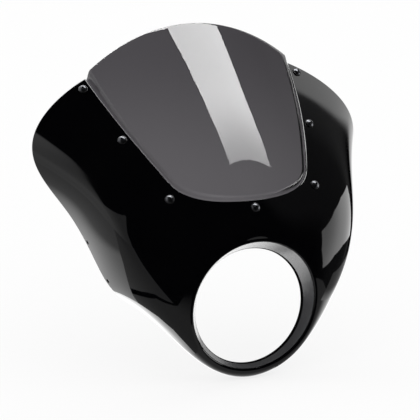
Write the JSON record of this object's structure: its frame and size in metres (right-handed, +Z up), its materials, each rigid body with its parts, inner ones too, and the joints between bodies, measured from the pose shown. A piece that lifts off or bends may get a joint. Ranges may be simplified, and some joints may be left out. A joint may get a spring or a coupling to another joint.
{
  "type": "headlight cowl",
  "caption": "Motorcycle headlight cowl: moulded shell with a round headlight collar, flared wings and a smoked screen screwed behind a notch in its top.",
  "frame": {"origin": "on the headlight's axis, in the land of the headlight opening, 2 mm in front of the land's rear edge", "axes": "+X across the cowl, +Y rearward along the headlight's axis, +Z up"},
  "size_m": [0.4908, 0.2344, 0.4587],
  "materials": {
    "moulded_shell": "gloss",
    "smoked_screen": "gloss",
    "black_screw": "satin",
    "nylon_washer": "satin",
    "rubber_washer": "matt",
    "zinc_nut": "satin"
  },
  "bodies": {
    "root": {"shell": "moulded_shell", "screen": "smoked_screen", "screw_1": "black_screw", "nylon_washer_1": "nylon_washer", "rubber_washer_1": "rubber_washer", "nut_1": "zinc_nut", "screw_2": "black_screw", "nylon_washer_2": "nylon_washer", "rubber_washer_2": "rubber_washer", "nut_2": "zinc_nut", "screw_3": "black_screw", "nylon_washer_3": "nylon_washer", "rubber_washer_3": "rubber_washer", "nut_3": "zinc_nut", "screw_4": "black_screw", "nylon_washer_4": "nylon_washer", "rubber_washer_4": "rubber_washer", "nut_4": "zinc_nut", "screw_5": "black_screw", "nylon_washer_5": "nylon_washer", "rubber_washer_5": "rubber_washer", "nut_5": "zinc_nut", "screw_6": "black_screw", "nylon_washer_6": "nylon_washer", "rubber_washer_6": "rubber_washer", "nut_6": "zinc_nut", "screw_7": "black_screw", "nylon_washer_7": "nylon_washer", "rubber_washer_7": "rubber_washer", "nut_7": "zinc_nut"}
  },
  "joints": []
}
